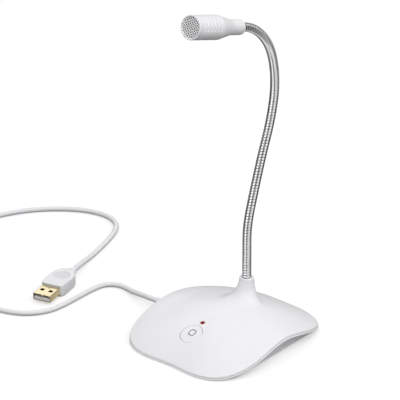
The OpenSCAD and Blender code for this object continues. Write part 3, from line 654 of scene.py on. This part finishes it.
def head_shell():
    """White barrel with rows of soft grip grooves on both sides, tapering to a round-ended tail."""
    steps, tail_steps, plain_steps, fine_steps, front_steps = 160, 8, 20, 190, 5
    tail_round, front_round = 1.7, 0.35
    neck_hole, hole_deep, hole_bevel = NECK_R + 0.12, 3.0, 0.15
    opening_r, opening_bevel, opening_deep = HEAD_R - RIM_W, 0.2, 1.2
    grooves, groove_first, groove_pitch, groove_half, groove_deep = 6, 4.9, 3.1, 0.75, 0.7
    groove_fade, groove_flat = 0.65, 1.25
    low_turn, high_turn, soft = math.radians(-4), math.radians(52), math.radians(6)

    def groove(z, turn):
        off = min(abs(z - (HEAD_L - groove_first - k * groove_pitch)) for k in range(grooves))
        lift = math.asin(math.sin(turn))
        ends = smoothstep((lift - low_turn) / soft + 0.5) * smoothstep((high_turn - lift) / soft + 0.5)
        deep = groove_deep * (1 - groove_fade * clamp01((lift - low_turn) / (high_turn - low_turn)))
        return deep * smoothstep(groove_flat * (1 - off / groove_half)) * ends

    barrel_end = HEAD_L - front_round
    fine_from = HEAD_L - groove_first - groove_pitch * grooves
    inner_tail = [(neck_hole, hole_deep), (neck_hole, hole_bevel), (neck_hole + hole_bevel, 0.0)]
    tail = arc((TAIL_R - tail_round, tail_round), tail_round, -90, 0, tail_steps)
    heights = [tail_round + (fine_from - tail_round) * k / plain_steps for k in range(1, plain_steps)]
    heights += [fine_from + (barrel_end - fine_from) * k / fine_steps for k in range(fine_steps)]
    side = [(head_radius(z), z) for z in heights]
    front = arc((HEAD_R - front_round, barrel_end), front_round, 0, 90, front_steps)
    front += [(opening_r + opening_bevel, HEAD_L), (opening_r, HEAD_L - opening_bevel),
              (opening_r, HEAD_L - GRILLE_DEPTH - opening_deep)]
    side_rows = range(len(inner_tail + tail), len(inner_tail + tail + side))
    rings = []
    for row, line in enumerate(revolve(inner_tail + tail + side + front, steps)):
        ring = []
        for turn, (x, y, z) in zip(full_turn(steps), line):
            keep = 1 - groove(z, turn) / head_radius(z) if row in side_rows else 1.0
            ring.append(HEAD_PLACE @ Vector((x * keep, y * keep, z)))
        rings.append(ring)
    points, faces = stack(rings)
    shell = make_piece("head_barrel", points, faces, [WHITE])
    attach(shell, "head")
    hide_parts("head_shell")


def grille():
    """Perforated disc: columns of round holes with pressed edges, and a flat margin."""
    pitch, hole_r, plate_r, sheet, pressed = 1.5, 0.54, HEAD_R - RIM_W / 2, 0.5, 0.06
    margin, weld, shortest = 0.4, 0.002, 0.001
    top = HEAD_L - GRILLE_DEPTH
    column = pitch * math.sin(math.pi / 3)
    rows = math.ceil(plate_r / column) + 1
    cell_r = pitch / math.sqrt(3)
    corners = 12
    hexagon, turns = full_turn(6), full_turn(corners)
    mesh = bmesh.new()

    def on_plate(p):
        far = math.hypot(*p)
        return p if far < plate_r else (p[0] * plate_r / far, p[1] * plate_r / far)

    for j in range(-rows, rows + 1):
        for i in range(-rows, rows + 1):
            x, y = column * j, pitch * (i + (j % 2) / 2)
            if math.hypot(x, y) > plate_r + cell_r:
                continue
            outer = [(x + cell_r * math.cos(t), y + cell_r * math.sin(t)) for t in hexagon]
            line = []
            for a, b in zip(outer, outer[1:] + outer[:1]):
                line += [on_plate(a), on_plate(((a[0] + b[0]) / 2, (a[1] + b[1]) / 2))]
            cell = [mesh.verts.new((*p, top)) for p in line]
            if math.hypot(x, y) > plate_r - margin:
                if len({(round(px, 4), round(py, 4)) for px, py in line}) > 2:
                    mesh.faces.new(cell)
                continue
            rims = []
            for r, z in ((hole_r + pressed, top), (hole_r, top - pressed), (hole_r, top - sheet)):
                rims.append([mesh.verts.new((x + r * math.cos(t), y + r * math.sin(t), z)) for t in turns])
            for one, two in zip([cell] + rims, rims):
                for k in range(corners):
                    m = (k + 1) % corners
                    mesh.faces.new((one[k], one[m], two[m], two[k]))
    bmesh.ops.remove_doubles(mesh, verts=mesh.verts, dist=weld)
    bmesh.ops.dissolve_degenerate(mesh, edges=mesh.edges, dist=shortest)
    bmesh.ops.transform(mesh, matrix=Matrix.Scale(MM, 4) @ HEAD_PLACE, verts=mesh.verts)
    data = bpy.data.meshes.new("grille_plate")
    mesh.to_mesh(data)
    mesh.free()
    data.materials.append(MESH_STEEL)
    smooth(data, SHARP)
    plate = add_object("grille_plate", data)
    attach(plate, "head")
    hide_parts("grille")


# Cord: from the base's strain relief to the coil put away at the left, and back to the plug

FLOOR_Z = CORD_D / 2
RELIEF_L, RELIEF_END_Z = 13.5, 5.7
RELIEF_END = (PAN_INSET - BASE_W / 2 - RELIEF_L, -MIDDLE_FRONT, RELIEF_END_Z)
RUN_ROUTE = [RELIEF_END, (-60, -2.8, 5.4), (-66, -1.8, 4.6), (-72, -0.5, 3.5), (-78, 1, 2.4),
             (-84.5, 2.6, 1.7), (-89.7, 2.7, FLOOR_Z), (-94.4, 0.5, FLOOR_Z), (-97.6, -3.5, FLOOR_Z),
             (-98.8, -8.6, FLOOR_Z), (-99, -16, FLOOR_Z), (-98.8, -24, FLOOR_Z), (-98.5, -32, FLOOR_Z),
             (-98.4, -40.5, FLOOR_Z), (-99.4, -49, FLOOR_Z), (-103, -57, FLOOR_Z), (-109, -63.5, FLOOR_Z),
             (-117, -67.8, FLOOR_Z), (-127, -70.6, FLOOR_Z), (-138, -72.2, FLOOR_Z), (-150, -73, FLOOR_Z),
             (-163, -73.4, FLOOR_Z), (-176, -73.4, FLOOR_Z), (-184, -73.4, FLOOR_Z)]
RETURN_ROUTE = [(-220.4, -37, 4.6), (-220.2, -27, 3.6), (-219.6, -16, 2.4), (-218.8, -5, 1.7),
                (-217.4, 7, FLOOR_Z), (-215, 19, FLOOR_Z), (-211, 30, FLOOR_Z), (-205.5, 40, FLOOR_Z),
                (-198.5, 49, FLOOR_Z), (-190, 57, FLOOR_Z), (-180.5, 63.6, FLOOR_Z), (-170, 67.6, FLOOR_Z),
                (-159.5, 68.2, FLOOR_Z), (-150.5, 64.6, FLOOR_Z), (-144, 57.6, FLOOR_Z), (-139.8, 49, FLOOR_Z),
                (-136.4, 40, FLOOR_Z), (-133.2, 30, FLOOR_Z), (-130.2, 20, 1.8), (-127.4, 10.5, 2.7),
                (-124.6, 3, 3.6), tuple(PLUG_REAR)]
ROUTE_STEPS = 5
COIL_AT = Vector((-196, -49, 0))
COIL_MID, COIL_COLUMNS = 18.0, 5
COIL_TURNS, COIL_STEPS = 9.25, 40


def coil_points():
    """Two flat layers: wound inwards on the table, up at the middle, and outwards on top."""
    step_in, in_span = 0.85, 0.15
    step_out, out_span = 0.4, 0.2
    rise_at, rise_span = 0.55, 0.3
    outer = COIL_MID + CORD_D * (COIL_COLUMNS - 1) / 2
    inner_turn = COIL_COLUMNS - 1
    points = []
    for i in range(int(COIL_TURNS * COIL_STEPS) + 1):
        u = i / COIL_STEPS
        inwards = sum(smoothstep((u - k - step_in) / in_span) for k in range(inner_turn))
        outwards = sum(smoothstep((u - k - step_out) / out_span) for k in range(COIL_COLUMNS, 2 * COIL_COLUMNS - 1))
        r = outer - CORD_D * (inwards - outwards)
        z = FLOOR_Z + CORD_D * smoothstep((u - inner_turn - rise_at) / rise_span)
        a = -math.pi / 2 - 2 * math.pi * u
        points.append(COIL_AT + Vector((r * math.cos(a), r * math.sin(a), z)))
    return points


def smooth_route(points):
    """A smooth line through the points, with a few steps between neighbours."""
    spots = [Vector(p) for p in points]
    line = []
    for i in range(len(spots) - 1):
        p0, p1 = spots[max(i - 1, 0)], spots[i]
        p2, p3 = spots[i + 1], spots[min(i + 2, len(spots) - 1)]
        for k in range(ROUTE_STEPS):
            t = k / ROUTE_STEPS
            line.append(0.5 * (2 * p1 + (p2 - p0) * t + (2 * p0 - 5 * p1 + 4 * p2 - p3) * t * t
                               + (3 * p1 - p0 - 3 * p2 + p3) * t ** 3))
    return line + [spots[-1]]


# Plug, built flat along Y from the cord to the tip, then laid on the table

def plug_grip():
    """White grip with a round rear, soft edges and an oval thumb recess, with painted shade in the recess and on the
    front face.
    """
    steps, edge_steps = 120, 8
    middle = PLUG_RELIEF_L + GRIP_REAR_L
    half_t, edge, squareness = GRIP_T / 2, 1.0, 7.0
    recess_r, recess_deep, recess_rim, recess_in = 5.3, 0.8, 0.3, 0.15
    front_zone, top_shares = 0.5, (0.3, 0.65)
    # Growth of the recess's radius and depth under the top, from its rim to its floor
    recess = ((recess_rim, 0), (0.08, 0.04), (-0.12, 0.14), (-0.3, recess_deep - 0.08), (-0.6, recess_deep),
              (-0.5 * recess_r, recess_deep))

    def reach(t):
        across, along = abs(math.cos(t)) / (GRIP_W / 2), abs(math.sin(t))
        if math.sin(t) < 0:
            return (across ** 2 + (along / GRIP_REAR_L) ** 2) ** -0.5
        return (across ** squareness + (along / (GRIP_L - GRIP_REAR_L)) ** squareness) ** (-1 / squareness)

    def ring(radius, z):
        return [PLUG_PLACE @ Vector((radius(t) * math.cos(t), middle + radius(t) * math.sin(t), z))
                for t in full_turn(steps)]

    rings = []
    for side, start in ((-1, -90), (1, 0)):
        for k in range(edge_steps + 1):
            t = math.radians(start + 90 * k / edge_steps)
            inset = edge * (1 - math.cos(t))
            rings.append(ring(lambda q: reach(q) - inset, (half_t - edge) * side + edge * math.sin(t)))
    for share in top_shares:
        rings.append(ring(lambda q: (reach(q) - edge) * (1 - share) + (recess_r + recess_rim) * share, half_t))
    for grow, drop in recess:
        rings.append(ring(lambda q: recess_r + grow, half_t - drop))
    points, faces = stack(rings)
    slots, flat = [], PLUG_PLACE.inverted()
    # Faces in the recess and on the front take darker greys: painted shade
    for face in faces:
        spot = flat @ (sum((Vector(points[i]) for i in face), Vector()) / len(face))
        recess_painted_shade = spot.z > 0 and math.hypot(spot.x, spot.y - middle) < recess_r - recess_in
        front_painted_shade = spot.y > GRIP_FRONT - front_zone and abs(spot.z) < half_t - edge / 2
        slots.append(1 if recess_painted_shade else 2 if front_painted_shade else 0)
    grip = make_piece("plug_grip_body", points, faces, [WHITE_SOFT, WHITE_RECESS_PAINTED_SHADE, GRIP_FACE_PAINTED_SHADE], slots, sharp=60)
    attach(grip, "base")
    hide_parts("plug_grip")
    return grip


def plug_shell():
    """Gold shell of folded sheet: rounded edges, painted shade on its inner faces, two windows above and below, and
    a crimp mark.
    """
    back, edge, inner_round, corner_steps = GRIP_FRONT - 2.0, 0.12, 0.2, 6
    window_w, window_l, window_x, window_y = 2.6, 2.7, 2.9, PLUG_TIP - 6.2
    window_round, window_steps = 0.2, 3
    bow_r, stroke, bow_y, bow_steps = 0.8, 0.16, GRIP_FRONT + 2.2, 24
    bow_start, bow_span = -50, 280
    bow_low, bow_high = USB_T / 2 - 0.05, USB_T / 2 + 0.02

    def ring(shrink, y, radius):
        line = rounded_box(USB_W / 2 - shrink, USB_T / 2 - shrink, radius, corner_steps)
        return [PLUG_PLACE @ Vector((x, y, z)) for x, z in line]

    mid = edge * ROUND_MID
    rings = [ring(0, back, USB_ROUND), ring(0, PLUG_TIP - edge, USB_ROUND), ring(mid, PLUG_TIP - mid, USB_ROUND),
             ring(edge, PLUG_TIP, USB_ROUND - edge), ring(USB_SHEET, PLUG_TIP, inner_round),
             ring(USB_SHEET, back, inner_round)]
    points, faces = stack(rings, loop=True)
    sides = len(rings[0])
    # The inner faces of the sheet take the near-black gold, painted shade inside the plug
    slots = [1 if k // sides == len(rings) - 2 else 0 for k in range(len(faces))]
    shell = make_piece("plug_gold_shell", points, faces, [GOLD, GOLD_INSIDE_PAINTED_SHADE], slots, sharp=30)
    for sx in (-1, 1):
        line = rounded_box(window_w / 2, window_l / 2, window_round, window_steps, (sx * window_x, window_y))
        cut_prism(shell, line, -USB_T, USB_T, PLUG_PLACE)
    even_normals(shell)
    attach(shell, "base")
    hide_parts("plug_shell")

    section = [(bow_r - stroke, bow_low), (bow_r - stroke, bow_high), (bow_r + stroke, bow_high),
               (bow_r + stroke, bow_low)]
    rings = []
    for k in range(bow_steps + 1):
        t = math.radians(bow_start + bow_span * k / bow_steps)
        rings.append([PLUG_PLACE @ Vector((r * math.cos(t), bow_y + r * math.sin(t), z)) for r, z in section])
    points, faces = stack(rings)
    crimp = make_piece("plug_crimp", points, faces, [CRIMP])
    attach(crimp, "base")
    return shell


def cord():
    """One cord from the base to the plug, with the plug's own pieces."""
    coil = coil_points()
    points = smooth_route(RUN_ROUTE + [coil[0]])[:-1] + coil
    points += smooth_route([coil[-1]] + RETURN_ROUTE)[1:]
    data = bpy.data.curves.new("cord", "CURVE")
    data.dimensions = "3D"
    data.bevel_depth = CORD_D / 2 * MM
    data.bevel_resolution = 4
    data.use_fill_caps = True
    spline = data.splines.new("POLY")
    spline.points.add(len(points) - 1)
    for spot, p in zip(spline.points, points):
        spot.co = (*(p * MM), 1)
    spline.use_smooth = True
    data.materials.append(WHITE_SOFT)
    piece = add_object("cord", data)
    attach(piece, "base")
    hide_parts("cord_run", "cord_coil", "cord_return")
    on_it = [nodes[n] for n in ("strain_relief", "cord_tie", "plug_relief", "plug_tongue", "plug_contacts")]
    on_it += [plug_grip(), plug_shell()]


def dress_solids():
    """Finishes of the solids that show as they are."""
    finishes = {
        RUBBER: ["rubber_feet", "capsule_holder"],
        STEEL: ["cover_screws", "board_screws", "neck_ferrule", "neck_washer", "neck_nut", "neck_bush",
                "mic_capsule"],
        IRON: ["ballast_plate"],
        BOARD: ["circuit_board"],
        COMPONENTS: ["board_parts", "push_switch", "switch_plunger"],
        FOAM: ["foam_disc"],
        WHITE_SOFT: ["strain_relief", "cord_tie", "plug_relief"],
        GOLD: ["plug_contacts"],
        # The tongue's darker inner part is painted shade
        TONGUE_PAINTED_SHADE: ["plug_tongue"],
    }
    for material, names in finishes.items():
        for name in names:
            nodes[name].data.materials.clear()
            nodes[name].data.materials.append(material)


# Stage: pale floor, soft even light, sectors of light and dark that only mirrors see, and the camera

CAMERA_WAY = Vector((0.59520317, -0.6730817, 0.43896949))
CAMERA_RIGHT = Vector((0.74911544, 0.66243947, 0.0))
CAMERA_UP = Vector((-0.29079072, 0.32883882, 0.89850197))
CAMERA_DISTANCE = 2402.019
VIEW_MIDDLE = -16.2233 * CAMERA_RIGHT + 81.0965 * CAMERA_UP
LENS_MM, SENSOR_MM = 358.56, 36.0
CLIP_START, CLIP_END = 0.05, 50.0

# Brightness that mirrors see low down, higher up and overhead, by the turn from the camera's side in degrees
SECTORS = [(-180, 0.03), (-76, 0.03), (-66, 1.45), (-26, 1.45), (-18, 0.03), (14, 0.03), (24, 1.0), (72, 1.0),
           (82, 0.05), (180, 0.04)]
UPPER = [(-180, 1.1), (-150, 1.1), (-135, 0.4), (160, 0.4), (172, 1.1), (180, 1.1)]
OVERHEAD = [(-180, 0.42), (180, 0.42)]
# Heights of the mirrored direction between which the upper tables take over
UPPER_FROM, UPPER_FULL = 0.24, 0.36
OVERHEAD_FROM, OVERHEAD_FULL = 0.65, 0.85

# Light in metres and watts; the floor has one strength for each kind of ray, and a warm patch beside the plug that
# only mirrors see, a painted reflection in the gold
WORLD_COLOUR, WORLD_STRENGTH = (0.985, 0.988, 1.0, 1), 0.72
FLOOR_SIZE = 14.0
FLOOR_BOUNCE, FLOOR_SEEN = (0.19, 0.19, 0.192, 1), (0.98, 0.98, 0.98, 1)
FLOOR_MIRRORED, FLOOR_GLOW, GLOW_SHARE = 1.05, 1.16, 0.4
PAINTED_REFLECTION_COLOUR, PATCH_SHIFT, PATCH_SCALE = (0.5, 0.46, 0.4, 1), (2.2, 0.5, 0), 20
LIGHT_AIM, LIGHT_SIZE = Vector((0, 0, 0.08)), 1.0
LIGHTS = {"key": ((0.61, -0.69, 1.31), 7), "side": ((0.85, 0.75, 1.13), 4.8)}

# Colour sockets of the mix node
MIX_A, MIX_B, MIX_OUT = 6, 7, 2


def sectors(tree, way, table):
    """Grey value of the direction's or place's turn round the set."""
    turned = tree.nodes.new("ShaderNodeMapping")
    turned.inputs["Rotation"].default_value = (0, 0, -math.atan2(CAMERA_WAY.y, CAMERA_WAY.x))
    radial = tree.nodes.new("ShaderNodeTexGradient")
    radial.gradient_type = "RADIAL"
    ramp = tree.nodes.new("ShaderNodeValToRGB")
    stops = ramp.color_ramp.elements
    while len(stops) < len(table):
        stops.new(0.5)
    for stop, (turn, grey) in zip(stops, table):
        stop.position = 0.5 + turn / 360
        stop.color = (grey, grey, grey, 1)
    tree.links.new(way, turned.inputs["Vector"])
    tree.links.new(turned.outputs["Vector"], radial.inputs["Vector"])
    tree.links.new(radial.outputs["Fac"], ramp.inputs["Fac"])
    return ramp.outputs["Color"]


def colour_mix(tree, factor, first):
    """Mix node with its factor and its first colour linked."""
    mix = tree.nodes.new("ShaderNodeMix")
    mix.data_type = "RGBA"
    tree.links.new(factor, mix.inputs["Factor"])
    tree.links.new(first, mix.inputs[MIX_A])
    return mix


def by_ray(tree, plain, mirrored, seen):
    """Shader that answers lighting rays, mirror rays and the camera each in its own way."""
    path = tree.nodes.new("ShaderNodeLightPath")
    shader = plain
    for name, other in (("Is Glossy Ray", mirrored), ("Is Transmission Ray", mirrored), ("Is Camera Ray", seen)):
        mix = tree.nodes.new("ShaderNodeMixShader")
        tree.links.new(path.outputs[name], mix.inputs["Fac"])
        tree.links.new(shader, mix.inputs[1])
        tree.links.new(other, mix.inputs[2])
        shader = mix.outputs[0]
    return shader


def world():
    """Even light for the surfaces, sectors for mirrors and a plain ground for the camera."""
    scene.world = bpy.data.worlds.new("studio")
    scene.world.use_nodes = True
    tree = scene.world.node_tree
    even = tree.nodes["Background"]
    even.inputs["Color"].default_value = WORLD_COLOUR
    even.inputs["Strength"].default_value = WORLD_STRENGTH
    plain = tree.nodes.new("ShaderNodeBackground")
    place = tree.nodes.new("ShaderNodeTexCoord")
    parts = tree.nodes.new("ShaderNodeSeparateXYZ")
    tree.links.new(place.outputs["Generated"], parts.inputs["Vector"])
    colour = sectors(tree, place.outputs["Generated"], SECTORS)
    for low, high, table in ((UPPER_FROM, UPPER_FULL, UPPER), (OVERHEAD_FROM, OVERHEAD_FULL, OVERHEAD)):
        mix = colour_mix(tree, remap(tree, parts.outputs["Z"], low, high, kind="SMOOTHSTEP"), colour)
        tree.links.new(sectors(tree, place.outputs["Generated"], table), mix.inputs[MIX_B])
        colour = mix.outputs[MIX_OUT]
    striped = tree.nodes.new("ShaderNodeBackground")
    tree.links.new(colour, striped.inputs["Color"])
    surface = by_ray(tree, even.outputs[0], striped.outputs[0], plain.outputs[0])
    tree.links.new(surface, tree.nodes["World Output"].inputs["Surface"])


def floor():
    """White to the camera with a light shadow, darker to the surfaces that it bounces light to, and to mirrors a
    glow with a warm patch beside the plug, a painted reflection in the gold.
    """
    material, tree, bounce = new_material("pale_floor")
    bounce.inputs["Base Color"].default_value = FLOOR_BOUNCE
    bounce.inputs["Roughness"].default_value = 1.0
    bounce.inputs["Specular IOR Level"].default_value = 0.0
    place = tree.nodes.new("ShaderNodeTexCoord")
    patch = tree.nodes.new("ShaderNodeMapping")
    patch.inputs["Location"].default_value = PATCH_SHIFT
    patch.inputs["Scale"].default_value = (PATCH_SCALE, PATCH_SCALE, PATCH_SCALE)
    fade = tree.nodes.new("ShaderNodeTexGradient")
    fade.gradient_type = "SPHERICAL"
    tree.links.new(place.outputs["Object"], patch.inputs["Vector"])
    tree.links.new(patch.outputs["Vector"], fade.inputs["Vector"])
    # To mirror rays the floor glows with the sectors and, beside the plug, a warm patch: a painted reflection in the
    # gold
    mix = colour_mix(tree, fade.outputs["Fac"], sectors(tree, place.outputs["Object"], SECTORS))
    mix.inputs[MIX_B].default_value = PAINTED_REFLECTION_COLOUR
    mirrored = tree.nodes.new("ShaderNodeEmission")
    mirrored.inputs["Strength"].default_value = FLOOR_MIRRORED
    tree.links.new(mix.outputs[MIX_OUT], mirrored.inputs["Color"])
    white = tree.nodes.new("ShaderNodeBsdfDiffuse")
    white.inputs["Color"].default_value = FLOOR_SEEN
    glow = tree.nodes.new("ShaderNodeEmission")
    glow.inputs["Strength"].default_value = FLOOR_GLOW
    seen = tree.nodes.new("ShaderNodeMixShader")
    seen.inputs["Fac"].default_value = GLOW_SHARE
    tree.links.new(white.outputs[0], seen.inputs[1])
    tree.links.new(glow.outputs[0], seen.inputs[2])
    surface = by_ray(tree, bounce.outputs[0], mirrored.outputs[0], seen.outputs[0])
    tree.links.new(surface, tree.nodes["Material Output"].inputs["Surface"])

    half = FLOOR_SIZE / 2
    mesh = bpy.data.meshes.new("floor")
    mesh.from_pydata([(-half, -half, 0), (half, -half, 0), (half, half, 0), (-half, half, 0)], [], [(0, 1, 2, 3)])
    mesh.materials.append(material)
    add_object("floor", mesh)


def lights():
    """Two large soft discs, one on the camera's side and one from its right."""
    for name, (place, power) in LIGHTS.items():
        data = bpy.data.lights.new(name, "AREA")
        data.shape = "DISK"
        data.size = LIGHT_SIZE
        data.energy = power
        disc = add_object(name, data)
        disc.location = place
        disc.rotation_mode = "QUATERNION"
        disc.rotation_quaternion = (LIGHT_AIM - Vector(place)).to_track_quat("-Z", "Y")


def camera():
    """The photo's camera, matched to the base, the neck and the head."""
    data = bpy.data.cameras.new("camera")
    data.lens = LENS_MM
    data.sensor_width = SENSOR_MM
    data.clip_start, data.clip_end = CLIP_START, CLIP_END
    view = add_object("camera", data)
    turn = Matrix((CAMERA_RIGHT, CAMERA_UP, CAMERA_WAY)).transposed()
    view.matrix_world = Matrix.Translation((CAMERA_DISTANCE * CAMERA_WAY + VIEW_MIDDLE) * MM) @ turn.to_4x4()
    scene.camera = view
    scene.view_settings.view_transform = "Standard"


camera()
world()
floor()
lights()
cord()
top_shell()
bottom_cover()
button()
lamp()
gooseneck()
head_shell()
grille()
dress_solids()
